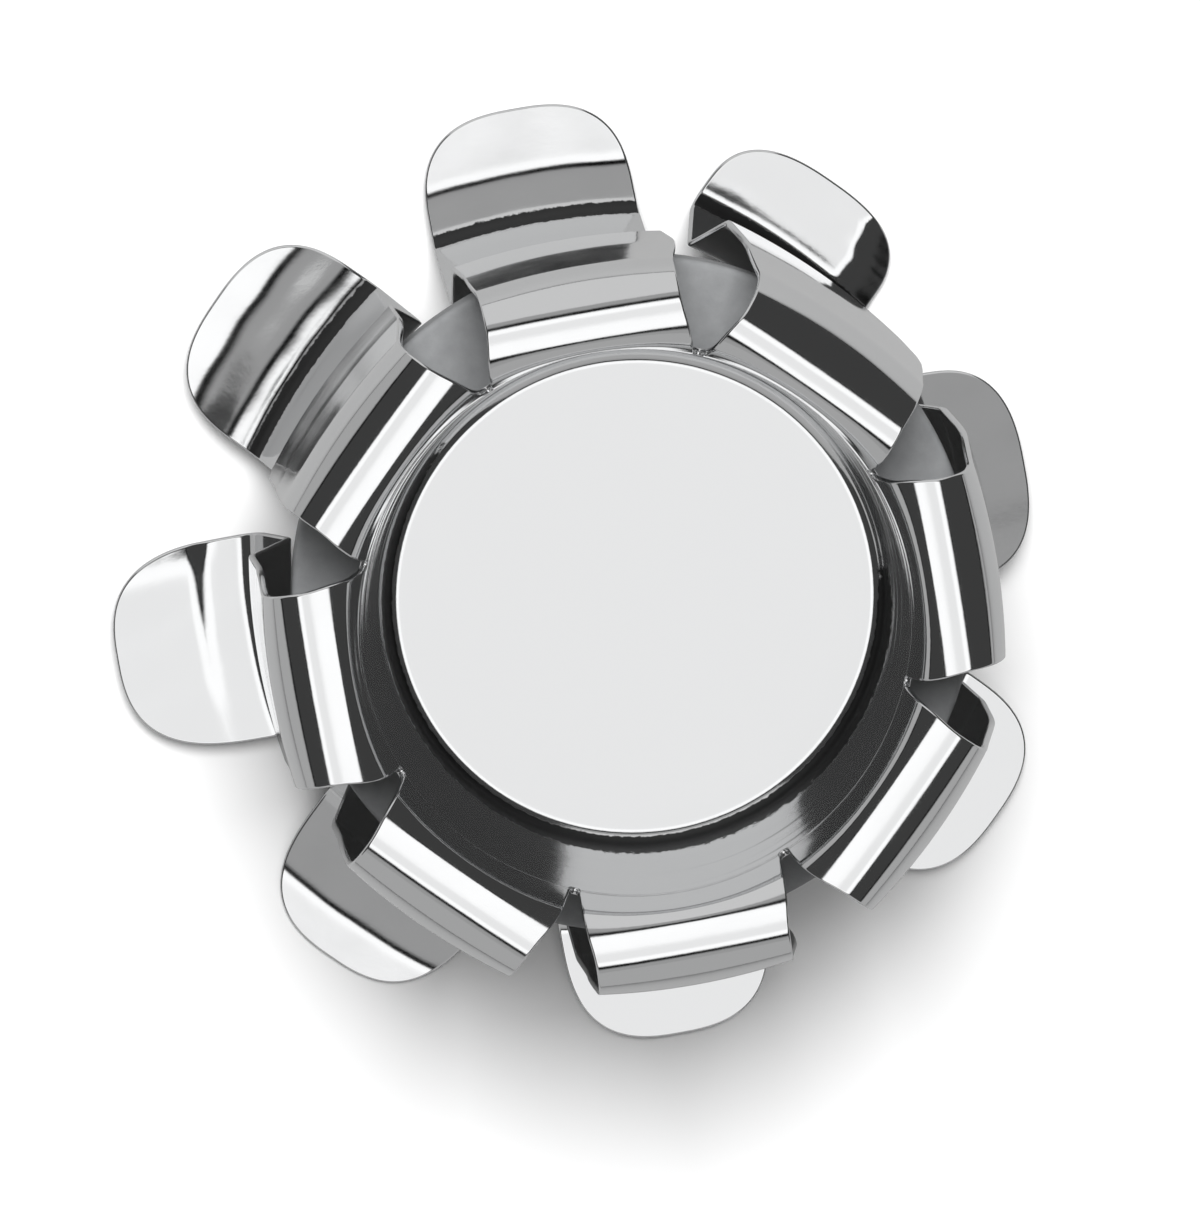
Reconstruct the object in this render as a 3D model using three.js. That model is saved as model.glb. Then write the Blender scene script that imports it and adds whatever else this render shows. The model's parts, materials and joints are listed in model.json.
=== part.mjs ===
// Push-on protective cap of a fire-suppression spray nozzle.
//
// A thin stainless cup is stamped with a flat recessed floor. Its wall rises to eight notches, and the eight
// strips between them turn over in a narrow crest, run down the outside, pinch in to a neck that grips under
// the nozzle's rim, and flare out as paddles that a hand or the discharge can lift. A flat elastomer disc
// under the floor seals the nozzle's mouth.
//
// Millimetres, +Z up towards the closed side. The origin is the centre of the seal's underside, where the
// nozzle's rim sits. Finger 1 points along +X and the others follow counter-clockwise.

import * as THREE from 'three';
import { mergeVertices } from 'three/addons/utils/BufferGeometryUtils.js';

const { degToRad, lerp, smoothstep } = THREE.MathUtils;

// Seal disc
const SEAL_RADIUS = 9.4;
const SEAL_THICKNESS = 1.0;
const SEAL_EDGE_BREAK = 0.15;
const SEAL_TO_FLOOR = 0.05;

// Sheet
const SHEET = 0.2;
const FLOOR_Z = SEAL_THICKNESS + SEAL_TO_FLOOR + SHEET / 2;

// Meridian of the sheet's middle surface. Heights are above the floor.
const FLOOR_CORNER_RADIUS = 6.95;
const FLOOR_BEND = 0.5;
const CREST_HEIGHT = 5.5;
const CREST_INNER_RADIUS = 7.82;
const CREST_INNER_BEND = 0.25;
const CREST_OUTER_RADIUS = 9.85;
const CREST_OUTER_BEND = 1.2;
const BULGE_RADIUS = 10.05;
const BULGE_TOP = 0.9;
const BULGE_TOP_BEND = 3;
const BULGE_BOTTOM = -3.3;
const BULGE_BOTTOM_BEND = 1.2;
const NECK_RADIUS = 8.85;
const NECK_HEIGHT = -5.9;
const NECK_BEND = 0.7;
const TOE_RADIUS = 9.55;
const TOE_HEIGHT = -8.8;
const TOE_BEND = 0.6;
const PADDLE_LENGTH = 3.6;
const PADDLE_END_START = 0.55;
const PADDLE_END_SQUARENESS = 3;

// Fingers
const FINGER_COUNT = 8;
const FINGER_PITCH = (2 * Math.PI) / FINGER_COUNT;
const CREST_HALF_WIDTH = 2.62;
const LEG_HALF_WIDTH = 2.86;
const LEG_WIDE_BY_DEPTH = 5;
const NOTCH_HEIGHT = 4.1;
const NOTCH_HALF_WIDTH = 0.17;
const ROOT_GAP = 0.05;
const CREST_FLATTENING = 0.88;
const LEG_FLATTENING = 0.45;
const FLAT_BY_RADIUS = 8.05;
const BOWED_BY_DEPTH = 1;
const NARROW_BY_RADIUS = 8.9;

// Handling has pushed the ring of crests off the floor's centre. The push fades out down the outside.
const CREST_PUSH = 0.31;
const CREST_PUSH_HEADING = degToRad(185);
const PUSH_GONE_BY_DEPTH = 6;

// How handling has left each finger. lean and sway are millimetres outward and counter-clockwise for each
// millimetre below the crest, toe moves the toe outward, reach lengthens the paddle, and droop is the
// paddle's fall in degrees.
const FINGERS = [
  { lean: -0.044, sway: 0.022, toe: 0, reach: -0.75, droop: 7 },
  { lean: -0.017, sway: 0.062, toe: 0.1, reach: -1.1, droop: 1 },
  { lean: -0.059, sway: 0.042, toe: 0.75, reach: -0.4, droop: 7 },
  { lean: -0.014, sway: 0.047, toe: 0.6, reach: -0.4, droop: 7 },
  { lean: 0.032, sway: 0.05, toe: 0, reach: 0.6, droop: 1 },
  { lean: 0.051, sway: 0.022, toe: 0, reach: 0.3, droop: 11 },
  { lean: 0.055, sway: -0.03, toe: 0, reach: 0.1, droop: 0 },
  { lean: 0.039, sway: -0.008, toe: 0, reach: -0.35, droop: 0 },
];

// Facets
const RING_SEGMENTS = 72;
const STRIP_SEGMENTS = 4;
const BEND_STEP = degToRad(20);
const TIP_STATIONS = 6;
const TIP_TURN = degToRad(80);

const steel = new THREE.MeshStandardMaterial({ color: 0xd8dadc, roughness: 0.12, metalness: 1 });
const rubber = new THREE.MeshStandardMaterial({ color: 0x8b8e90, roughness: 0.75, metalness: 0 });

const corner = (radius, height, bend = 0) => ({ at: new THREE.Vector2(radius, height), bend });

// The points of a line through the corners, with each bend turned into an arc.
function bentLine(corners) {
  const points = [corners[0].at.clone()];
  for (let i = 1; i < corners.length - 1; i++) {
    const { at, bend } = corners[i];
    const into = at.clone().sub(corners[i - 1].at).normalize();
    const out = corners[i + 1].at.clone().sub(at).normalize();
    const turn = Math.atan2(into.cross(out), into.dot(out));
    const side = Math.sign(turn);
    const start = at.clone().addScaledVector(into, -bend * Math.tan(Math.abs(turn) / 2));
    const centre = start.clone().add(new THREE.Vector2(-into.y, into.x).multiplyScalar(side * bend));
    const steps = Math.ceil(Math.abs(turn) / BEND_STEP);
    for (let k = 0; k <= steps; k++) {
      points.push(start.clone().rotateAround(centre, (turn * k) / steps));
    }
  }
  points.push(corners[corners.length - 1].at.clone());
  return points;
}

// Each point of a line with the unit normal on its left, which is the sheet's outer side.
function withNormals(points) {
  return points.map((at, i) => {
    const before = points[Math.max(i - 1, 0)];
    const after = points[Math.min(i + 1, points.length - 1)];
    const along = after.clone().sub(before).normalize();
    return { at, normal: new THREE.Vector2(-along.y, along.x) };
  });
}

// A point of the inner wall, which rises in a straight line from the floor's corner to the crest.
function wallPoint(height) {
  const share = height / CREST_HEIGHT;
  return corner(lerp(FLOOR_CORNER_RADIUS, CREST_INNER_RADIUS, share), height);
}

// How far a point at some share of the push has moved, in a frame turned by heading about the cap's axis.
function crestPush(share, heading) {
  const direction = CREST_PUSH_HEADING - heading;
  return new THREE.Vector2(Math.cos(direction), Math.sin(direction)).multiplyScalar(CREST_PUSH * share);
}

function lathe(outline) {
  const geometry = new THREE.LatheGeometry(outline, RING_SEGMENTS);
  geometry.rotateX(Math.PI / 2);
  geometry.deleteAttribute('normal');
  geometry.deleteAttribute('uv');
  return mergeVertices(geometry);
}

// The floor and the wall up to the bottom of the notches: one thin bowl.
function cupShell() {
  const middle = bentLine([
    corner(0, 0),
    corner(FLOOR_CORNER_RADIUS, 0, FLOOR_BEND),
    wallPoint(NOTCH_HEIGHT - ROOT_GAP / 2),
  ]);
  const stations = withNormals(middle);
  const side = (sign) =>
    stations.map(({ at, normal }) => at.clone().addScaledVector(normal, (sign * SHEET) / 2));
  const outline = [...side(-1), ...side(1).reverse()];
  outline[0].x = 0;
  outline[outline.length - 1].x = 0;
  const geometry = lathe(outline);
  const places = geometry.getAttribute('position');
  for (let i = 0; i < places.count; i++) {
    const push = crestPush(smoothstep(places.getZ(i), 0, CREST_HEIGHT), 0);
    places.setXY(i, places.getX(i) + push.x, places.getY(i) + push.y);
  }
  const mesh = new THREE.Mesh(geometry, steel.clone());
  mesh.position.z = FLOOR_Z;
  return mesh;
}

function sealDisc() {
  const edge = SEAL_RADIUS - SEAL_EDGE_BREAK;
  const outline = [
    new THREE.Vector2(0, 0),
    new THREE.Vector2(edge, 0),
    new THREE.Vector2(SEAL_RADIUS, SEAL_EDGE_BREAK),
    new THREE.Vector2(SEAL_RADIUS, SEAL_THICKNESS - SEAL_EDGE_BREAK),
    new THREE.Vector2(edge, SEAL_THICKNESS),
    new THREE.Vector2(0, SEAL_THICKNESS),
  ];
  return new THREE.Mesh(lathe(outline), rubber.clone());
}

// The paddle is half of a squarish ellipse. At a share of the turn round it: how far along it lies, as a
// share of its length, and how wide the paddle still is, as a share of its full width.
function paddleEnd(share) {
  const turn = TIP_TURN * share;
  const power = 2 / PADDLE_END_SQUARENESS;
  return { along: Math.sin(turn) ** power, width: Math.cos(turn) ** power };
}

// The finger's meridian from its root at the notches to the paddle's rounded end, then round it to the tip.
function fingerMeridian({ toe, reach, droop }) {
  const fall = degToRad(droop);
  const toeRadius = TOE_RADIUS + toe;
  const endLength = PADDLE_LENGTH + reach - PADDLE_END_START;
  const paddle = (distance) =>
    corner(toeRadius + distance * Math.cos(fall), TOE_HEIGHT - distance * Math.sin(fall));
  const points = bentLine([
    wallPoint(NOTCH_HEIGHT + ROOT_GAP / 2),
    corner(CREST_INNER_RADIUS, CREST_HEIGHT, CREST_INNER_BEND),
    corner(CREST_OUTER_RADIUS, CREST_HEIGHT, CREST_OUTER_BEND),
    corner(BULGE_RADIUS, BULGE_TOP, BULGE_TOP_BEND),
    corner(BULGE_RADIUS, BULGE_BOTTOM, BULGE_BOTTOM_BEND),
    corner(NECK_RADIUS, NECK_HEIGHT, NECK_BEND),
    corner(toeRadius, TOE_HEIGHT, TOE_BEND),
    paddle(PADDLE_END_START),
  ]);
  for (let i = 1; i <= TIP_STATIONS; i++) {
    points.push(paddle(PADDLE_END_START + endLength * paddleEnd(i / TIP_STATIONS).along).at);
  }
  return points;
}

const isOutside = (point) => point.x > CREST_INNER_RADIUS + CREST_INNER_BEND;

// How far below the crest a station on the outside lies. It is zero on the inside.
function depthBelowCrest(point) {
  return isOutside(point) ? CREST_HEIGHT - point.y : 0;
}

// The share of the crest's push that reaches a station.
function pushShare(point) {
  if (isOutside(point)) return 1 - smoothstep(depthBelowCrest(point), 0, PUSH_GONE_BY_DEPTH);
  return smoothstep(point.y, 0, CREST_HEIGHT);
}

// Half the strip's width at a station: it narrows up to the crest, widens down the outside, and ends round.
function halfWidth(point, index, last) {
  const rootRadius = wallPoint(NOTCH_HEIGHT).at.x;
  const rootHalf = rootRadius * Math.sin(FINGER_PITCH / 2) - NOTCH_HALF_WIDTH;
  const overCrest = smoothstep(point.x, rootRadius, NARROW_BY_RADIUS);
  const downLeg = smoothstep(depthBelowCrest(point), 0, LEG_WIDE_BY_DEPTH);
  const full = lerp(lerp(rootHalf, CREST_HALF_WIDTH, overCrest), LEG_HALF_WIDTH, downLeg);
  const tipStep = Math.max(0, index - (last - TIP_STATIONS));
  return full * paddleEnd(tipStep / TIP_STATIONS).width;
}

// How far a station's cross-section is flattened out of its arc about the cap's axis: not at all at the root,
// almost fully on the crest, and less again down the outside.
function flattening(point, rootRadius) {
  const downLeg = smoothstep(depthBelowCrest(point), 0, BOWED_BY_DEPTH);
  return lerp(CREST_FLATTENING, LEG_FLATTENING, downLeg) * smoothstep(point.x, rootRadius, FLAT_BY_RADIUS);
}

// One spring finger, in a frame whose +X runs out through the finger from the cap's axis.
function springFinger(shape, heading) {
  const stations = withNormals(fingerMeridian(shape));
  const last = stations.length - 1;
  const geometry = new THREE.BoxGeometry(last, 2, SHEET, last, STRIP_SEGMENTS, 1);
  geometry.deleteAttribute('normal');
  geometry.deleteAttribute('uv');
  const places = geometry.getAttribute('position');
  const rootRadius = stations[0].at.x;
  for (let i = 0; i < places.count; i++) {
    const index = Math.round(places.getX(i) + last / 2);
    const across = places.getY(i);
    const outward = places.getZ(i);
    const { at, normal } = stations[index];
    const y = across * halfWidth(at, index, last);
    const round = 1 - flattening(at, rootRadius);
    const bow = round * (at.x - Math.sqrt(at.x ** 2 - y ** 2));
    const facing = round * Math.asin(y / at.x);
    const depth = depthBelowCrest(at);
    const push = crestPush(pushShare(at), heading);
    places.setXYZ(
      i,
      at.x - bow + outward * normal.x * Math.cos(facing) + shape.lean * depth + push.x,
      y + outward * normal.x * Math.sin(facing) + shape.sway * depth + push.y,
      at.y + outward * normal.y,
    );
  }
  const mesh = new THREE.Mesh(mergeVertices(geometry), steel.clone());
  mesh.position.z = FLOOR_Z;
  return mesh;
}

function named(mesh, name) {
  mesh.name = name;
  return mesh;
}

const cap = new THREE.Group();
cap.add(named(cupShell(), 'cup_shell'));
cap.add(named(sealDisc(), 'seal_disc'));
FINGERS.forEach((shape, i) => {
  const heading = i * FINGER_PITCH;
  const finger = named(springFinger(shape, heading), `spring_finger_${i + 1}`);
  finger.rotation.z = heading;
  cap.add(finger);
});

export default cap;
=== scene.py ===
"""Looks for the push-on nozzle cap: polished sheet-metal cup, eight spring fingers and a rubber seal disc.

Metres, in the CAD frame. Shapes are worked out in millimetres and scaled once, where a mesh is made.
"""

import json
import math

import bpy
import numpy as np
from mathutils import Matrix, Vector


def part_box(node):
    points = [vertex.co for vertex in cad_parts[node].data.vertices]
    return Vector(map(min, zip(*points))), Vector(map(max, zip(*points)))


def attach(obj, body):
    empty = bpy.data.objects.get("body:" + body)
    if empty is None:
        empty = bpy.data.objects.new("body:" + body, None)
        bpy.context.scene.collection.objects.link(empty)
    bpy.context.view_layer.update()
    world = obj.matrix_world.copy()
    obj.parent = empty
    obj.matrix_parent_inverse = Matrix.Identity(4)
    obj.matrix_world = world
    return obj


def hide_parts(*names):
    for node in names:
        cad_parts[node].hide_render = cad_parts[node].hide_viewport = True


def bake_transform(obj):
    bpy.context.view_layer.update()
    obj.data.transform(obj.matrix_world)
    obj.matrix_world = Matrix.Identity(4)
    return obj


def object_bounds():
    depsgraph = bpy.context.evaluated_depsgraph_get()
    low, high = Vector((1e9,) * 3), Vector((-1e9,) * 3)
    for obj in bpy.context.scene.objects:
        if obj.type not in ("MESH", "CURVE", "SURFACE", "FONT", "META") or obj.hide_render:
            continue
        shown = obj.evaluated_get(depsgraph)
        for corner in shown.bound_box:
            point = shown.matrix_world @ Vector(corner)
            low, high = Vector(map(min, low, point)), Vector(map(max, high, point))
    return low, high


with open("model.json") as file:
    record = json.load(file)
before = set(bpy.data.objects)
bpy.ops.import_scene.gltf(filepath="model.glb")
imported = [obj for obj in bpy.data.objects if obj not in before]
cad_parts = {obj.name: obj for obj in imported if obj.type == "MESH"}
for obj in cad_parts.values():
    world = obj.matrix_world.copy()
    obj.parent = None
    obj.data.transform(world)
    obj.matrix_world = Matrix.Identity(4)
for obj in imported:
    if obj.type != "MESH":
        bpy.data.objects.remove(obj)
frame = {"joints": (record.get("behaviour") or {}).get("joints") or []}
cad_low, cad_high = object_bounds()

MM = 0.001

# Sheet and meridian, in millimetres. Heights are above the middle of the cup floor's sheet.
SHEET = 0.2
FLOOR_CORNER_RADIUS = 6.95
FLOOR_BEND = 0.5
CREST_HEIGHT = 5.5
CREST_INNER_RADIUS = 7.82
CREST_INNER_BEND = 0.25
CREST_OUTER_RADIUS = 9.85
CREST_INNER_DROP = 0.07
CREST_OUTER_RISE = 0.12
BULGE_RADIUS = 10.05
BULGE_TOP = 0.9
BULGE_TOP_BEND = 3.0
BULGE_BOTTOM = -3.3
BULGE_BOTTOM_BEND = 1.2
NECK_RADIUS = 8.85
NECK_HEIGHT = -5.9
NECK_BEND = 0.7
TOE_RADIUS = 9.55
TOE_HEIGHT = -8.8
TOE_BEND = 0.6
PADDLE_LENGTH = 3.6
KNEE_BEND = 1.6
PADDLE_END_START = 0.55
PADDLE_END_SQUARENESS = 3.0
CREST_HALF_WIDTH = 2.62
LEG_HALF_WIDTH = 2.86
LEG_WIDE_BY_DEPTH = 5.0
CREST_FLATTENING = 0.88
LEG_FLATTENING = 0.45
BOWED_BY_DEPTH = 1.0
FLAT_BY_RADIUS = 8.05
NARROW_BY_RADIUS = 8.9
CREST_ENDS_AT_DEPTH = 0.5
NOTCH_HEIGHT = 4.1
NOTCH_HALF_WIDTH = 0.17
EDGE_ROUND = 0.05
EDGE_SQUARENESS = 0.6

# Handling has pushed the ring of crests off the floor's centre. The push fades out down the outside.
CREST_PUSH = 0.31
CREST_PUSH_HEADING = math.radians(185)
PUSH_GONE_BY_DEPTH = 6.0

# How handling has left each finger:
# - lean and sway: millimetres outward and counter-clockwise for each millimetre below the crest
# - shoulder: the outer bend of the crest
# - toe: how far the toe is moved outward; reach: how much longer the paddle is
# - falls: the paddle's fall in degrees from each distance out from the toe
# - twist: how many degrees the paddle's counter-clockwise side is raised
# - fold: an edge bent down, as (side, degrees, how far from the middle)
# - steps: creases over which the outer part lies lower, as (millimetres out, millimetres counter-clockwise,
#   length, width, depth)
# - toe_shade: how dark the shade painted into the toe's bend is
STRAIGHT_AND_UNSHADED = dict(toe=0.0, falls=[(0, 0)], twist=0, fold=None, steps=[], toe_shade=0.0)
FINGERS = [STRAIGHT_AND_UNSHADED | handling for handling in (
    dict(lean=-0.044, sway=0.022, shoulder=1.35, reach=-0.75, falls=[(0, 3)], twist=-13, toe_shade=0.9),
    dict(lean=-0.017, sway=0.062, shoulder=1.5, toe=0.1, reach=-1.1, falls=[(0, 1)], fold=(-1, 27, 1.95),
         toe_shade=1.0),
    dict(lean=-0.059, sway=0.042, shoulder=1.25, toe=0.75, reach=-0.4, falls=[(0, 14.3), (1.45, 2)],
         toe_shade=1.0),
    dict(lean=-0.014, sway=0.047, shoulder=1.2, toe=0.6, reach=-0.4,
         falls=[(0, 2), (0.95, 14), (1.9, 9.5), (2.35, 1)], twist=6, toe_shade=1.0),
    dict(lean=0.032, sway=0.05, shoulder=1.12, reach=0.6, falls=[(0, 1)],
         steps=[(1.3, -2.9, 0.5, 4.2, 0.066), (1.0, -3.1, 1.3, 0.7, 0.1)]),
    dict(lean=0.051, sway=0.022, shoulder=1.08, reach=0.3, falls=[(0, 13), (2.75, 2)]),
    dict(lean=0.055, sway=-0.03, shoulder=1.15, reach=0.1),
    dict(lean=0.039, sway=-0.008, shoulder=1.15, reach=-0.35),
)]

# A fold's line: how much it slants, how softly it bends, and its raggedness as (size, waves, phase) sines.
FOLD_SLANT = 0.15
FOLD_SOFTNESS = 0.03
FOLD_RAGGEDNESS = [(0.05, 4, 0), (0.02, 9, 1)]

# How far up the leg from the toe a twist or a fold of the paddle starts
TWIST_REACH = 4.0

# Painted shade: black painted into the toes' bends and round the floor's corner, where it is painted faint
# along one stretch
TOE_SHADE_OFFSET = 0.02
TOE_SHADE_HALF_WIDTH = 0.3
CORNER_SHADE_RADIUS = FLOOR_CORNER_RADIUS - 0.12
CORNER_SHADE_HALF_WIDTH = 0.19
FAINT_SHADE_HEADING = math.radians(65)
FAINT_SHADE_HALF_ANGLE = math.radians(55)
FAINT_SHADE_FADE = math.radians(25)
FAINT_SHADE_LEVEL = 0.12

# Unevenness of the fingers below some depth, and the rings that drawing leaves on part of the wall
UNEVEN = 0.0025
UNEVEN_BELOW_DEPTH = 4
RING_DEPTH = 0.003
RINGS_FROM = 0.5
RINGS_FADE_IN = 0.6
RINGS_END_BELOW_CREST = 0.3
RINGS_FADE_OUT = 0.5

# Seal, in millimetres. The nozzle's mouth has pressed a ring into its underside.
SEAL_EDGE_ROUND = 0.16
SEAL_STEP = 0.08
SEAL_TURNS = 288
PRESSED_RING_RADIUS = 8.6
PRESSED_RING_HALF_WIDTH = 0.28
PRESSED_RING_DEPTH = 0.05

# Mesh fineness
STATION_STEP = 0.1
ACROSS = 24
PADDLE_END_TURN = math.radians(87)
PADDLE_END_STATIONS = 40
NOTCH_STEPS = 12
NOTCH_ZONE = 0.6
NOTCH_ZONE_STEPS = 8
RIM_STEPS = 6
ARC_STEP = math.radians(4)

FINGER_PITCH = 2 * math.pi / len(FINGERS)
FLOOR_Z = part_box("cup_shell")[0].z / MM + SHEET / 2


def smooth(x):
    """0 below 0, 1 above 1 and an eased rise between them."""
    x = np.clip(x, 0, 1)
    return x * x * (3 - 2 * x)


def unit(vectors):
    return vectors / np.linalg.norm(vectors, axis=1)[:, None]


# ---------------------------------------------------------------- sheet profiles

def bent_line(corners):
    """The points of a line through (radius, height, bend radius) corners, with an arc for each bend."""
    at = np.array([c[:2] for c in corners], float)
    points = [at[0]]
    for i in range(1, len(corners) - 1):
        bend = corners[i][2]
        into = (at[i] - at[i - 1]) / np.linalg.norm(at[i] - at[i - 1])
        out = (at[i + 1] - at[i]) / np.linalg.norm(at[i + 1] - at[i])
        turn = math.atan2(into[0] * out[1] - into[1] * out[0], into @ out)
        if abs(turn) < 1e-6:
            continue
        side = math.copysign(1, turn)
        start = at[i] - into * bend * math.tan(abs(turn) / 2)
        centre = start + np.array([-into[1], into[0]]) * side * bend
        steps = max(2, math.ceil(abs(turn) / ARC_STEP))
        for k in range(steps + 1):
            c, s = math.cos(turn * k / steps), math.sin(turn * k / steps)
            arm = start - centre
            points.append(centre + np.array([arm[0] * c - arm[1] * s, arm[0] * s + arm[1] * c]))
    points.append(at[-1])
    return np.array(points)


def along(points):
    """Distance run along a line at each of its points."""
    return np.concatenate([[0], np.cumsum(np.linalg.norm(np.diff(points, axis=0), axis=1))])


def even(points, step=STATION_STEP):
    """The same line with evenly spaced points."""
    s = along(points)
    new = np.linspace(0, s[-1], max(2, round(s[-1] / step) + 1))
    return np.stack([np.interp(new, s, points[:, k]) for k in range(2)], axis=1)


def eased(points, reach=2):
    """The line with its bends eased into its straights, as springy sheet takes them. The ends stay."""
    weights = np.hanning(2 * reach + 3)[1:-1]
    weights /= weights.sum()
    padded = np.concatenate([
        2 * points[0] - points[reach:0:-1], points, 2 * points[-1] - points[-2:-reach - 2:-1]])
    return np.stack([np.convolve(padded[:, k], weights, "valid") for k in range(2)], axis=1)


def left_normals(points):
    """Unit normals on the line's left, which is the sheet's outer side."""
    ahead = unit(np.gradient(points, axis=0))
    return np.stack([-ahead[:, 1], ahead[:, 0]], axis=1)


def wall_point(height):
    """The corner, without a bend, where the straight inner wall is at a height."""
    share = height / CREST_HEIGHT
    return (FLOOR_CORNER_RADIUS + (CREST_INNER_RADIUS - FLOOR_CORNER_RADIUS) * share, height, 0)


ROOT_RADIUS = wall_point(NOTCH_HEIGHT)[0]
ROOT_HALF = ROOT_RADIUS * math.sin(FINGER_PITCH / 2) - NOTCH_HALF_WIDTH


def finger_line(shape):
    """One finger's meridian from its root to the paddle's tip."""
    toe_radius = TOE_RADIUS + shape["toe"]
    corners = [
        wall_point(NOTCH_HEIGHT),
        (CREST_INNER_RADIUS, CREST_HEIGHT - CREST_INNER_DROP, CREST_INNER_BEND),
        (CREST_OUTER_RADIUS, CREST_HEIGHT + CREST_OUTER_RISE, shape["shoulder"]),
        (BULGE_RADIUS, BULGE_TOP, BULGE_TOP_BEND),
        (BULGE_RADIUS, BULGE_BOTTOM, BULGE_BOTTOM_BEND),
        (NECK_RADIUS, NECK_HEIGHT, NECK_BEND),
        (toe_radius, TOE_HEIGHT, TOE_BEND),
    ]
    ends = [out for out, _ in shape["falls"][1:]] + [PADDLE_LENGTH + shape["reach"]]
    radius, height = toe_radius, TOE_HEIGHT
    for (start, fall), end in zip(shape["falls"], ends):
        fall = math.radians(fall)
        radius += (end - start) * math.cos(fall)
        height -= (end - start) * math.sin(fall)
        corners.append((radius, height, KNEE_BEND))
    return eased(even(bent_line(corners)))


# ---------------------------------------------------------------- meshes

def new_mesh(name, verts_mm, faces, material, painted_shade=None):
    """A smooth-shaded object in metres. The last argument says how much shade is painted on each vertex."""
    mesh = bpy.data.meshes.new(name)
    mesh.from_pydata([tuple(v) for v in np.asarray(verts_mm) * MM], [], faces)
    if painted_shade is not None:
        mesh.attributes.new("painted_shade", "FLOAT", "POINT").data.foreach_set("value", painted_shade)
    mesh.materials.append(material)
    mesh.polygons.foreach_set("use_smooth", [True] * len(mesh.polygons))
    mesh.update()
    piece = bpy.data.objects.new(name, mesh)
    bpy.context.scene.collection.objects.link(piece)
    return piece


def add_points(verts, grid):
    """Adds a grid of points to a list of vertices and returns the number of the first."""
    start = len(verts)
    verts.extend(grid.reshape(-1, 3))
    return start


def rim_offsets():
    """Cross-section of a sheet's cut edge, outer face to inner face: (along the normal, outwards)."""
    turn = np.linspace(0, math.pi, RIM_STEPS + 1)
    high = np.sign(np.cos(turn)) * np.abs(np.cos(turn)) ** EDGE_SQUARENESS * SHEET / 2
    out = np.abs(np.sin(turn)) ** EDGE_SQUARENESS * EDGE_ROUND
    return list(zip(high, out))[1:-1]


def paddle_lift(shape, out, y):
    """How far handling has raised the sheet at out millimetres from the toe and y counter-clockwise. A twist
    or a fold of the paddle starts up the leg, where it only slides the sheet along itself."""
    started = smooth((out + TWIST_REACH) / TWIST_REACH)
    slope = math.tan(math.radians(shape["twist"]))
    lift = (slope * y + abs(slope) * LEG_HALF_WIDTH / 2) * started
    if shape["fold"]:
        side, degrees, start = shape["fold"]
        ragged = sum(size * np.sin(waves * out + phase) for size, waves, phase in FOLD_RAGGEDNESS)
        past = side * y + FOLD_SLANT * out - start + ragged
        bent = (past + np.sqrt(past ** 2 + FOLD_SOFTNESS)) / 2
        lift = lift - math.tan(math.radians(degrees)) * bent * started
    for start, middle, length, width, depth in shape["steps"]:
        lift = lift - depth * smooth((out - start) / length) * np.exp(-((y - middle) / width) ** 2)
    return lift


def draw_rings(height):
    """The faint rings that deep drawing leaves round the inner wall, as a height along the sheet's normal."""
    below_end = CREST_HEIGHT - RINGS_END_BELOW_CREST - height
    fade = smooth((height - RINGS_FROM) / RINGS_FADE_IN) * smooth(below_end / RINGS_FADE_OUT)
    return RING_DEPTH * fade * (np.sin(10.1 * height) + 0.6 * np.sin(17 * height + 1))


def finger_stations(shape):
    """The stations along one finger: distance run, distance out from the toe, (radius, height), normal, and
    the share of the full width, which shrinks round the paddle's end."""
    line = finger_line(shape)
    s = along(line)
    toe = s[np.argmin(np.hypot(line[:, 0] - TOE_RADIUS - shape["toe"], line[:, 1] - TOE_HEIGHT))]
    end_start = toe + PADDLE_END_START
    end_length = s[-1] - end_start
    turn = np.linspace(0, PADDLE_END_TURN, PADDLE_END_STATIONS)[1:]
    power = 2 / PADDLE_END_SQUARENESS
    body = s[s < end_start - STATION_STEP / 2]
    stations = np.concatenate([body, [end_start], end_start + end_length * np.sin(turn) ** power])
    narrow = np.concatenate([np.ones(len(body) + 1), np.cos(turn) ** power])
    at = np.stack([np.interp(stations, s, line[:, k]) for k in range(2)], axis=1)
    fine = left_normals(line)
    normal = unit(np.stack([np.interp(stations, s, fine[:, k]) for k in range(2)], axis=1))
    return stations, stations - toe, at, normal, narrow


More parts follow.
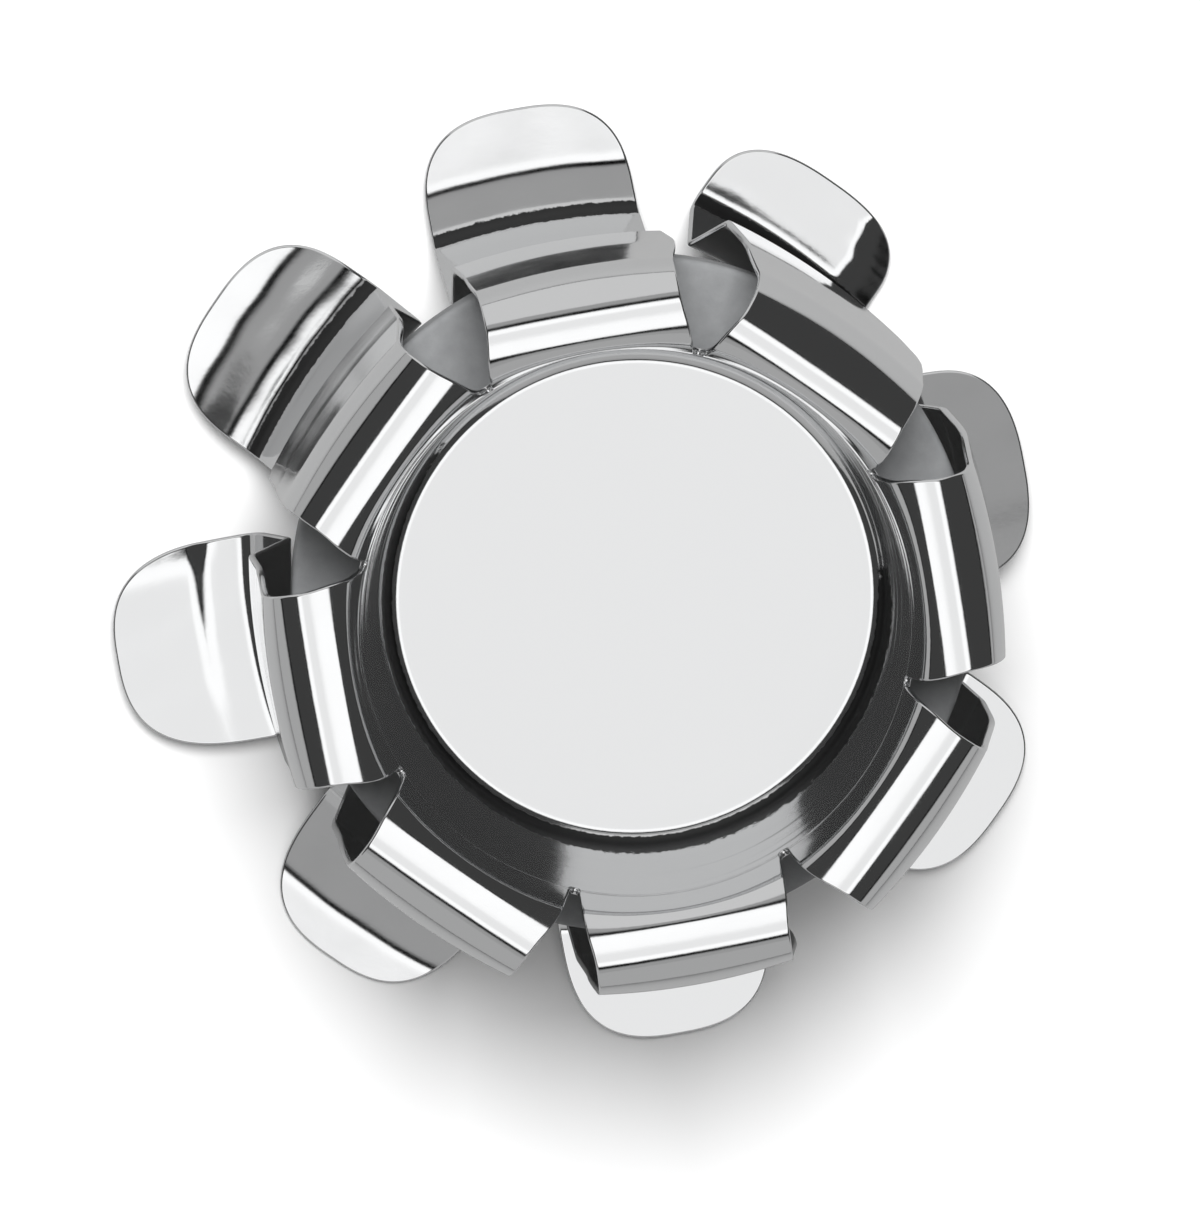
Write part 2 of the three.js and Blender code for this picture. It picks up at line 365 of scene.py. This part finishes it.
def finger_mesh(shape, heading):
    """Vertices, faces and painted shade of one finger, in millimetres, in a frame whose +X runs out through
    the finger."""
    stations, out_from_toe, at, normal, narrow = finger_stations(shape)
    past = stations > stations[np.argmax(at[:, 1])]
    depth = np.where(past, CREST_HEIGHT - at[:, 1], 0)
    from_root = at[:, 0] - ROOT_RADIUS
    flat = np.where(past, 1, smooth(from_root / (FLAT_BY_RADIUS - ROOT_RADIUS)))
    over = np.where(depth > CREST_ENDS_AT_DEPTH, 1, smooth(from_root / (NARROW_BY_RADIUS - ROOT_RADIUS)))
    half = ROOT_HALF + (CREST_HALF_WIDTH - ROOT_HALF) * over
    half = (half + (LEG_HALF_WIDTH - half) * smooth(depth / LEG_WIDE_BY_DEPTH)) * narrow
    share = -np.cos(np.linspace(0, math.pi, ACROSS + 1))
    y = half[:, None] * share[None, :]

    bowed = smooth(depth / BOWED_BY_DEPTH)
    flattening = CREST_FLATTENING + (LEG_FLATTENING - CREST_FLATTENING) * bowed
    round_part = 1 - (flattening * flat)[:, None]
    radius = at[:, 0][:, None]
    bow = round_part * (radius - np.sqrt(radius ** 2 - y ** 2))
    facing = round_part * np.arcsin(y / radius)

    pushed = np.where(past, 1 - smooth(depth / PUSH_GONE_BY_DEPTH), smooth(at[:, 1] / CREST_HEIGHT))[:, None]
    push_x = CREST_PUSH * math.cos(CREST_PUSH_HEADING - heading) * pushed
    push_y = CREST_PUSH * math.sin(CREST_PUSH_HEADING - heading) * pushed

    depth = depth[:, None]
    out = out_from_toe[:, None]
    lift = paddle_lift(shape, out, y)
    phase = 1.7 * heading
    wave = np.sin(2.1 * y + 1.3 * out + phase) + np.sin(3.4 * y - 0.9 * out + 2 * phase)
    wave = UNEVEN * wave * (depth > UNEVEN_BELOW_DEPTH)
    rings = np.where(past, 0, draw_rings(at[:, 1]))[:, None]

    def place(up):
        """The sheet's points, raised along its normal."""
        up = up + rings
        nr = normal[:, 0][:, None]
        nz = normal[:, 1][:, None]
        x = radius - bow + up * nr * np.cos(facing) + shape["lean"] * depth + push_x
        yy = y + up * nr * np.sin(facing) + shape["sway"] * depth + push_y
        z = at[:, 1][:, None] + up * nz + lift + wave
        return np.stack([x, yy, z], axis=2)

    top, bottom, middle = place(SHEET / 2), place(-SHEET / 2), place(0.0)
    n, m = top.shape[:2]
    verts, faces = [], []
    a, b = add_points(verts, top), add_points(verts, bottom)

    def index(base, i, j):
        return base + i * m + j

    for i in range(n - 1):
        for j in range(m - 1):
            faces.append((index(a, i, j), index(a, i + 1, j), index(a, i + 1, j + 1), index(a, i, j + 1)))
            faces.append((index(b, i, j), index(b, i, j + 1), index(b, i + 1, j + 1), index(b, i + 1, j)))

    # The cut edge: up the side at -y, across the tip, down the side at +y.
    loop = [(i, 0) for i in range(n)]
    loop += [(n - 1, j) for j in range(1, m)]
    loop += [(i, m - 1) for i in range(n - 2, -1, -1)]
    edge = np.array([middle[i, j] for i, j in loop])
    up = unit(np.array([top[i, j] - bottom[i, j] for i, j in loop]))
    outward = unit(np.cross(unit(np.gradient(edge, axis=0)), up))
    rows = [add_points(verts, edge + up * high + outward * wide) for high, wide in rim_offsets()]
    chains = [[index(a, i, j) for i, j in loop]]
    chains += [[row + k for k in range(len(loop))] for row in rows]
    chains += [[index(b, i, j) for i, j in loop]]
    for upper, lower in zip(chains, chains[1:]):
        for k in range(len(loop) - 1):
            faces.append((upper[k], lower[k], lower[k + 1], upper[k + 1]))

    # The root's end face, hidden against the cup's wall
    face = [index(a, 0, j) for j in range(m)]
    face += [chain[-1] for chain in chains][1:-1]
    face += [index(b, 0, j) for j in range(m - 1, -1, -1)]
    face += [chain[0] for chain in chains][-2:0:-1]
    faces.append(tuple(face))

    # Painted shade: a dark band painted along the toe's bend, on the sheet's outer face
    painted_shade = np.zeros(len(verts))
    from_crease = (out_from_toe - TOE_SHADE_OFFSET) / TOE_SHADE_HALF_WIDTH
    painted_shade[a:a + n * m] = np.repeat(shape["toe_shade"] * np.exp(-from_crease ** 4), m)
    return np.array(verts), faces, painted_shade


def cup_mesh():
    """Vertices, faces and painted shade of the floor and of the wall up to the notches, whose bottoms are
    round.
    """
    corners = [(0, 0, 0), (FLOOR_CORNER_RADIUS, 0, FLOOR_BEND), wall_point(NOTCH_HEIGHT)]
    line = eased(even(bent_line(corners)))
    line[0, 0] = 0
    s = along(line)
    line_normals = left_normals(line)
    zone_start = s[-1] - NOTCH_ZONE
    fixed = s[s < zone_start]
    moving = np.linspace(0, 1, NOTCH_ZONE_STEPS + 1)

    share = -np.cos(np.linspace(0, math.pi, ACROSS + 1))
    finger_angles = np.arcsin(share * ROOT_HALF / ROOT_RADIUS)
    notch = np.linspace(0, math.pi, NOTCH_STEPS + 1)[1:-1]
    half_gap = FINGER_PITCH / 2 - finger_angles[-1]
    angles, dips = [], []
    for f in range(len(FINGERS)):
        base = f * FINGER_PITCH
        angles += [base + a for a in finger_angles]
        dips += [0.0] * len(finger_angles)
        angles += [base + FINGER_PITCH / 2 - half_gap * math.cos(p) for p in notch]
        dips += [NOTCH_HALF_WIDTH * math.sin(p) for p in notch]
    angles, dips = np.array(angles), np.array(dips)

    stations = np.stack([
        np.concatenate([fixed[1:], zone_start + (NOTCH_ZONE - dip) * moving]) for dip in dips])
    r, z = (np.interp(stations, s, line[:, k]) for k in range(2))
    nr, nz = (np.interp(stations, s, line_normals[:, k]) for k in range(2))

    push = CREST_PUSH * smooth(z / CREST_HEIGHT)
    rings = draw_rings(z)

    def place(up):
        """The sheet's points, raised along its normal."""
        up = up + rings
        rr = r + up * nr
        x = rr * np.cos(angles)[:, None] + push * math.cos(CREST_PUSH_HEADING)
        y = rr * np.sin(angles)[:, None] + push * math.sin(CREST_PUSH_HEADING)
        return np.stack([x, y, z + up * nz], axis=2)

    top, bottom, middle = place(SHEET / 2), place(-SHEET / 2), place(0.0)
    c, n = r.shape
    verts = [np.array([0, 0, SHEET / 2]), np.array([0, 0, -SHEET / 2])]
    faces = []
    a, b = add_points(verts, top), add_points(verts, bottom)
    for k in range(c):
        nxt = (k + 1) % c
        faces.append((0, a + k * n, a + nxt * n))
        faces.append((1, b + nxt * n, b + k * n))
        for i in range(n - 1):
            faces.append((a + k * n + i, a + k * n + i + 1, a + nxt * n + i + 1, a + nxt * n + i))
            faces.append((b + k * n + i, b + nxt * n + i, b + nxt * n + i + 1, b + k * n + i + 1))

    # The cut edge, rounded outward only round the notches
    edge = middle[:, -1]
    up = unit(top[:, -1] - bottom[:, -1])
    run = unit(np.roll(edge, -1, axis=0) - np.roll(edge, 1, axis=0))
    outward = unit(np.cross(up, run))
    outward *= np.sign(outward[:, 2])[:, None]
    rounded = np.where(dips > 0, 1.0, 0.0)[:, None]
    rows = [add_points(verts, edge + up * high + outward * wide * rounded) for high, wide in rim_offsets()]
    chains = [[a + k * n + n - 1 for k in range(c)]]
    chains += [[row + k for k in range(c)] for row in rows]
    chains += [[b + k * n + n - 1 for k in range(c)]]
    for inner, outer in zip(chains, chains[1:]):
        for k in range(c):
            nxt = (k + 1) % c
            faces.append((inner[k], outer[k], outer[nxt], inner[nxt]))

    verts = np.array(verts)
    upper = verts[a:a + c * n]
    # Painted shade: a dark ring painted round the floor's corner, faint along one stretch of headings
    from_corner = (np.hypot(upper[:, 0], upper[:, 1]) - CORNER_SHADE_RADIUS) / CORNER_SHADE_HALF_WIDTH
    turned = np.exp(1j * (np.arctan2(upper[:, 1], upper[:, 0]) - FAINT_SHADE_HEADING))
    full_shade = smooth((np.abs(np.angle(turned)) - FAINT_SHADE_HALF_ANGLE) / FAINT_SHADE_FADE)
    painted_shade = np.zeros(len(verts))
    painted_shade[a:a + c * n] = np.exp(-from_corner ** 4) * (FAINT_SHADE_LEVEL + (1 - FAINT_SHADE_LEVEL) * full_shade)
    return verts, faces, painted_shade


def seal_mesh():
    """Vertices and faces of the seal, a flat disc with rounded edges and the pressed ring underneath."""
    low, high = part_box("seal_disc")
    radius, bottom, top = high.x / MM, low.z / MM, high.z / MM
    edge = SEAL_EDGE_ROUND
    corners = [(0, bottom, 0), (radius, bottom, edge), (radius, top, edge), (0, top, 0)]
    line = even(bent_line(corners), SEAL_STEP)
    under = line[:, 1] < bottom + 0.01
    ring = np.exp(-((line[:, 0] - PRESSED_RING_RADIUS) / PRESSED_RING_HALF_WIDTH) ** 2) * PRESSED_RING_DEPTH
    line[:, 1] += np.where(under, ring, 0)
    verts, faces = [], []
    for k in range(SEAL_TURNS):
        a = 2 * math.pi * k / SEAL_TURNS
        for r, z in line[1:-1]:
            verts.append((r * math.cos(a), r * math.sin(a), z))
    verts += [(0, 0, line[0, 1]), (0, 0, line[-1, 1])]
    n = len(line) - 2
    for k in range(SEAL_TURNS):
        nxt = (k + 1) % SEAL_TURNS
        for i in range(n - 1):
            faces.append((k * n + i, nxt * n + i, nxt * n + i + 1, k * n + i + 1))
        faces.append((len(verts) - 2, nxt * n, k * n))
        faces.append((len(verts) - 1, k * n + n - 1, nxt * n + n - 1))
    return np.array(verts), faces


# ---------------------------------------------------------------- materials

STEEL_COLOUR = (0.83, 0.835, 0.84, 1)
# Painted shade: the near-black painted into the steel's bends, and how much of the steel's colour it covers
# at most
PAINTED_SHADE_COLOUR = (0.02, 0.02, 0.02, 1)
PAINTED_SHADE_COVERS = 0.94
RUBBER_DARK = (0.2, 0.205, 0.21, 1)
RUBBER_LIGHT = (0.3, 0.305, 0.31, 1)
FLOOR_SEEN = (0.93, 0.93, 0.93, 1)
# Painted shade: the floor as mirrored in the steel is painted darker than the floor the camera sees
FLOOR_PAINTED_DARK_IN_MIRRORS = (0.36, 0.36, 0.36, 1)


def new_material(name):
    """A material, its nodes and its main shader."""
    material = bpy.data.materials.new(name)
    material.use_nodes = True
    tree = material.node_tree
    return material, tree, tree.nodes["Principled BSDF"]


def millimetres(tree, scale=(1, 1, 1)):
    """Object coordinates in millimetres."""
    coords = tree.nodes.new("ShaderNodeTexCoord")
    mapping = tree.nodes.new("ShaderNodeMapping")
    mapping.inputs["Scale"].default_value = [v / MM for v in scale]
    tree.links.new(coords.outputs["Object"], mapping.inputs["Vector"])
    return mapping.outputs["Vector"]


def noise(tree, vector, scale, detail=2.0, roughness=0.5):
    node = tree.nodes.new("ShaderNodeTexNoise")
    node.inputs["Scale"].default_value = scale
    node.inputs["Detail"].default_value = detail
    node.inputs["Roughness"].default_value = roughness
    tree.links.new(vector, node.inputs["Vector"])
    return node.outputs["Fac"]


def spread(tree, value, low, high):
    """value, from 0 to 1, turned into a number from low to high."""
    node = tree.nodes.new("ShaderNodeMapRange")
    node.inputs["To Min"].default_value = low
    node.inputs["To Max"].default_value = high
    tree.links.new(value, node.inputs["Value"])
    return node.outputs["Result"]


def bump(tree, height, distance_mm, before=None):
    node = tree.nodes.new("ShaderNodeBump")
    node.inputs["Strength"].default_value = 1
    node.inputs["Distance"].default_value = distance_mm * MM
    tree.links.new(height, node.inputs["Height"])
    if before:
        tree.links.new(before, node.inputs["Normal"])
    return node.outputs["Normal"]


def ramp(tree, value, stops):
    """A number that runs through (place from 0 to 1, number) stops."""
    node = tree.nodes.new("ShaderNodeValToRGB")
    elements = node.color_ramp.elements
    while len(elements) > 1:
        elements.remove(elements[-1])
    for k, (place, level) in enumerate(stops):
        element = elements[0] if k == 0 else elements.new(place)
        element.position = place
        element.color = (level, level, level, 1)
    tree.links.new(value, node.inputs["Fac"])
    return node.outputs["Color"]


def maths(tree, operation, a, b=None):
    node = tree.nodes.new("ShaderNodeMath")
    node.operation = operation
    for k, value in enumerate((a, b)):
        if isinstance(value, (int, float)):
            node.inputs[k].default_value = value
        elif value is not None:
            tree.links.new(value, node.inputs[k])
    return node.outputs["Value"]


def clamped(tree, value, low, high):
    return maths(tree, "MINIMUM", maths(tree, "MAXIMUM", value, low), high)


def mix_values(tree, share, low, high):
    """low where share is 0, high where it is 1. Sockets 0, 2 and 3 are the factor and the two numbers."""
    node = tree.nodes.new("ShaderNodeMix")
    for k, value in ((0, share), (2, low), (3, high)):
        if isinstance(value, (int, float)):
            node.inputs[k].default_value = value
        else:
            tree.links.new(value, node.inputs[k])
    return node.outputs[0]


def mix_colours(tree, share, low, high):
    """The same for two colours, whose sockets are 6, 7 and output 2."""
    node = tree.nodes.new("ShaderNodeMix")
    node.data_type = "RGBA"
    node.inputs[6].default_value = low
    node.inputs[7].default_value = high
    tree.links.new(share, node.inputs[0])
    return node.outputs[2]


def polished_steel():
    """Bright rolled stainless sheet: slight ripple, fine rub marks, smears that dull it, and dark shade
    painted into its creases."""
    material, tree, surface = new_material("polished_steel")
    mm = millimetres(tree)
    smears = spread(tree, noise(tree, mm, scale=0.6, detail=4), low=0.02, high=0.11)
    along_x = millimetres(tree, scale=(1, 14, 14))
    scratches = spread(tree, noise(tree, along_x, scale=1.3, detail=3, roughness=0.7), low=0, high=0.05)

    # The painted shade is darkest where the vertices carry most of it, broken up by speckle, and only the
    # camera sees it.
    attribute = tree.nodes.new("ShaderNodeAttribute")
    attribute.attribute_name = "painted_shade"
    painted_shade = attribute.outputs["Fac"]
    speckle = spread(tree, noise(tree, mm, scale=5, detail=3, roughness=0.7), low=-0.75, high=0.75)
    shade_cover = maths(tree, "ADD", maths(tree, "MULTIPLY", painted_shade, 1.9), speckle)
    shade_cover = maths(tree, "MULTIPLY", maths(tree, "SUBTRACT", shade_cover, 0.9), 3)
    shade_cover = clamped(tree, shade_cover, 0, PAINTED_SHADE_COVERS)
    shade_cover = maths(tree, "MULTIPLY", shade_cover, tree.nodes.new("ShaderNodeLightPath").outputs["Is Camera Ray"])
    shade_cover = maths(tree, "MULTIPLY", shade_cover, maths(tree, "GREATER_THAN", painted_shade, 0.02))

    tree.links.new(mix_colours(tree, shade_cover, STEEL_COLOUR, PAINTED_SHADE_COLOUR), surface.inputs["Base Color"])
    surface.inputs["Metallic"].default_value = 1
    dulled = maths(tree, "ADD", smears, scratches)
    rough = maths(tree, "ADD", dulled, maths(tree, "MULTIPLY", shade_cover, 0.35))
    tree.links.new(rough, surface.inputs["Roughness"])
    ripple = bump(tree, noise(tree, mm, scale=0.8, detail=2), distance_mm=0.004)
    marks = bump(tree, noise(tree, mm, scale=9, detail=3, roughness=0.6), distance_mm=0.0005, before=ripple)
    tree.links.new(marks, surface.inputs["Normal"])
    return material


def seal_rubber():
    """Matt grey rubber, mottled and finely grained."""
    material, tree, surface = new_material("seal_rubber")
    mm = millimetres(tree)
    mottle = noise(tree, mm, scale=2.2, detail=5, roughness=0.6)
    colours = tree.nodes.new("ShaderNodeValToRGB")
    colours.color_ramp.elements[0].color = RUBBER_DARK
    colours.color_ramp.elements[1].color = RUBBER_LIGHT
    tree.links.new(mottle, colours.inputs["Fac"])
    tree.links.new(colours.outputs["Color"], surface.inputs["Base Color"])
    tree.links.new(spread(tree, mottle, low=0.55, high=0.75), surface.inputs["Roughness"])
    grain = bump(tree, noise(tree, mm, scale=14, detail=4, roughness=0.7), distance_mm=0.006)
    tree.links.new(grain, surface.inputs["Normal"])
    return material


def pale_floor():
    """White sweep, clear from below. What the polished metal mirrors of it is painted duller, a painted shade
    that shows only in reflections."""
    material, tree, surface = new_material("pale_floor")
    surface.inputs["Roughness"].default_value = 0.9
    surface.inputs["Specular IOR Level"].default_value = 0.1
    seen = tree.nodes.new("ShaderNodeLightPath").outputs["Is Camera Ray"]
    tree.links.new(mix_colours(tree, seen, FLOOR_PAINTED_DARK_IN_MIRRORS, FLOOR_SEEN), surface.inputs["Base Color"])
    from_below = tree.nodes.new("ShaderNodeNewGeometry").outputs["Backfacing"]
    clear = tree.nodes.new("ShaderNodeBsdfTransparent").outputs[0]
    sides = tree.nodes.new("ShaderNodeMixShader")
    for k, source in enumerate((from_below, surface.outputs[0], clear)):
        tree.links.new(source, sides.inputs[k])
    tree.links.new(sides.outputs[0], tree.nodes["Material Output"].inputs["Surface"])
    return material


# ---------------------------------------------------------------- pieces

STEEL, RUBBER = polished_steel(), seal_rubber()
JOINTS = {j["child"]: j for j in frame["joints"]}


def raised(verts):
    """Points moved from heights above the floor's sheet to heights in the CAD frame."""
    return verts + np.array([0, 0, FLOOR_Z])


def make_cup():
    verts, faces, painted_shade = cup_mesh()
    piece = new_mesh("cup_sheet", raised(verts), faces, STEEL, painted_shade)
    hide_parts("cup_shell")
    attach(piece, "cap")


def make_seal():
    verts, faces = seal_mesh()
    piece = new_mesh("seal", verts, faces, RUBBER)
    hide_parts("seal_disc")
    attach(piece, "cap")


def make_finger(number, shape):
    """One finger's sheet, turned to its heading and baked into place. Its hinge's axis is level and square to
    its heading."""
    body = f"finger_{number}"
    axis = JOINTS[body]["axis"]
    heading = math.atan2(axis[0], -axis[1])
    verts, faces, painted_shade = finger_mesh(shape, heading)
    turn = np.array(Matrix.Rotation(heading, 3, "Z"))
    piece = new_mesh(f"finger_sheet_{number}", raised(verts @ turn.T), faces, STEEL, painted_shade)
    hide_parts(f"spring_finger_{number}")
    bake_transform(piece)


make_cup()
make_seal()
for number, shape in enumerate(FINGERS, 1):
    make_finger(number, shape)


# ---------------------------------------------------------------- stage

FLOOR_HALF = 600 * MM

VIEW_HEIGHT = 33.46 * MM
VIEW_DISTANCE = 350 * MM
VIEW_TILT = math.radians(10.1)
FINGER_1_HEADING = math.radians(10)
AXIS_LEANS = math.radians(-67)
FLOOR_CENTRE_OFFSET = (0.96 * MM, 0.37 * MM)

# The studio, by angle from the panel's centre in half turns: the panel and its frame, then the part of the
# wall that is equally bright all round, and the dark curtain with a black hem
PANEL_BRIGHTNESS = [(0, 0.95), (0.03, 0.95), (0.048, 1.2), (0.085, 1.2), (0.1, 0), (1, 0)]
FRAME_ENDS = 0.11
NEAR_WALL_ENDS = 0.185
NEAR_WALL_BRIGHTNESS = 0.36
CURTAIN_BRIGHTNESS = 0.05
CURTAIN_SOFTNESS = 0.02
HEM_HALF_HEIGHT = 0.018

# Round the studio by heading in degrees, counter-clockwise from finger 1: how far from the panel's centre the
# dark curtain reaches, in degrees, and how bright the wall below it is
CURTAIN_HEM = [(0, 88), (45, 100), (58, 90), (63, 22), (117, 22), (124, 66), (180, 64), (203, 50), (210, 22),
               (292, 22), (300, 55), (330, 60)]
WALL_BRIGHTNESS = [(0, 0.42), (56, 0.42), (66, 0.66), (114, 0.66), (126, 0.42)]

KEY_LIGHT_AT = Vector((5, 110, 280)) * MM
KEY_LIGHT_SIZE = 120 * MM
KEY_LIGHT_POWER = 1.12


def make_floor():
    """A level square under the lowest finger tips."""
    half, low = FLOOR_HALF, cad_low.z
    corners = [(-half, -half, low), (half, -half, low), (half, half, low), (-half, half, low)]
    mesh = bpy.data.meshes.new("floor")
    mesh.from_pydata(corners, [], [(0, 1, 2, 3)])
    mesh.materials.append(pale_floor())
    floor = bpy.data.objects.new("floor", mesh)
    bpy.context.scene.collection.objects.link(floor)


def lean_direction():
    """The level direction, in the cap's frame, that its axis leans towards in the picture."""
    along_lean = AXIS_LEANS - FINGER_1_HEADING
    return Vector((math.cos(along_lean), math.sin(along_lean), 0))


def make_camera():
    """Above the closed side. Finger 1 points FINGER_1_HEADING up from the picture's right, and the cap's axis
    leans towards AXIS_LEANS, measured the same way."""
    lean = lean_direction()
    back = Vector((0, 0, 1)) * math.cos(VIEW_TILT) - lean * math.sin(VIEW_TILT)
    lean_seen = lean * math.cos(VIEW_TILT) + Vector((0, 0, 1)) * math.sin(VIEW_TILT)
    across = back.cross(lean_seen)
    right = lean_seen * math.cos(AXIS_LEANS) - across * math.sin(AXIS_LEANS)
    up = lean_seen * math.sin(AXIS_LEANS) + across * math.cos(AXIS_LEANS)
    centre = Vector((0, 0, (FLOOR_Z + SHEET / 2) * MM))
    target = centre - right * FLOOR_CENTRE_OFFSET[0] - up * FLOOR_CENTRE_OFFSET[1]
    data = bpy.data.cameras.new("camera")
    data.sensor_width = 36
    data.lens = data.sensor_width * VIEW_DISTANCE / VIEW_HEIGHT
    data.clip_start, data.clip_end = 0.01, 10
    camera = bpy.data.objects.new("camera", data)
    rotation = Matrix((right, up, back)).transposed()
    camera.matrix_world = Matrix.Translation(target + back * VIEW_DISTANCE) @ rotation.to_4x4()
    bpy.context.scene.collection.objects.link(camera)
    bpy.context.scene.camera = camera


def round_ramp(tree, heading, stops):
    """A number that depends on the heading, from (degrees, number) stops, and joins up round the studio. The
    heading runs from 0 to 1, starting opposite finger 1."""
    scaled = sorted((((degrees + 180) % 360) / 360, number) for degrees, number in stops)
    first, last = scaled[0], scaled[-1]
    share = (1 - last[0]) / (1 - last[0] + first[0])
    wrap = last[1] + (first[1] - last[1]) * share
    return ramp(tree, heading, [(0, wrap)] + scaled + [(1, wrap)])


def make_studio():
    """A white panel overhead with a dark frame. Beyond it dark curtains hang to different heights round the
    studio, with paler walls below them.

    The panel is centred where level metal mirrors the camera, so a surface tilted by some angle sees the
    studio at twice that angle from the panel's centre."""
    world = bpy.data.worlds.new("studio")
    bpy.context.scene.world = world
    world.use_nodes = True
    tree = world.node_tree
    coords = tree.nodes.new("ShaderNodeTexCoord")
    turned = tree.nodes.new("ShaderNodeVectorRotate")
    turned.rotation_type = "AXIS_ANGLE"
    lean = lean_direction()
    pole = Vector((0, 0, 1)) * math.cos(VIEW_TILT) + lean * math.sin(VIEW_TILT)
    turned.inputs["Axis"].default_value = pole.cross(Vector((0, 0, 1))).normalized()
    turned.inputs["Angle"].default_value = VIEW_TILT
    tree.links.new(coords.outputs["Generated"], turned.inputs["Vector"])
    parts = tree.nodes.new("ShaderNodeSeparateXYZ")
    tree.links.new(turned.outputs["Vector"], parts.inputs["Vector"])
    away = maths(tree, "DIVIDE", maths(tree, "ARCCOSINE", parts.outputs["Z"]), math.pi)
    heading = maths(tree, "ARCTAN2", parts.outputs["Y"], parts.outputs["X"])
    heading = maths(tree, "ADD", maths(tree, "DIVIDE", heading, 2 * math.pi), 0.5)
    panel = ramp(tree, away, PANEL_BRIGHTNESS)
    outside = maths(tree, "GREATER_THAN", away, FRAME_ENDS)

    curtain = round_ramp(tree, heading, [(at, reach / 180) for at, reach in CURTAIN_HEM])
    past_hem = maths(tree, "SUBTRACT", away, curtain)
    hem = maths(tree, "LESS_THAN", maths(tree, "ABSOLUTE", past_hem), HEM_HALF_HEIGHT)
    dark = mix_values(tree, hem, CURTAIN_BRIGHTNESS, 0)
    near = maths(tree, "LESS_THAN", away, NEAR_WALL_ENDS)
    wall = mix_values(tree, near, round_ramp(tree, heading, WALL_BRIGHTNESS), NEAR_WALL_BRIGHTNESS)
    below = clamped(tree, maths(tree, "DIVIDE", past_hem, CURTAIN_SOFTNESS), 0, 1)
    around = maths(tree, "MULTIPLY", mix_values(tree, below, dark, wall), outside)
    total = maths(tree, "ADD", panel, around)
    background = tree.nodes["Background"]
    tree.links.new(total, background.inputs["Strength"])
    background.inputs["Color"].default_value = (1, 1, 1, 1)


def make_key_light():
    """A soft light that brightens the floor and the rubber, and isn't mirrored in the steel."""
    data = bpy.data.lights.new("key", "AREA")
    data.size = KEY_LIGHT_SIZE
    data.energy = KEY_LIGHT_POWER
    light = bpy.data.objects.new("key", data)
    light.location = KEY_LIGHT_AT
    light.rotation_euler = (-KEY_LIGHT_AT).to_track_quat("-Z", "Y").to_euler()
    light.visible_glossy = False
    bpy.context.scene.collection.objects.link(light)


make_floor()
make_camera()
make_studio()
make_key_light()
bpy.context.scene.view_settings.view_transform = "Standard"
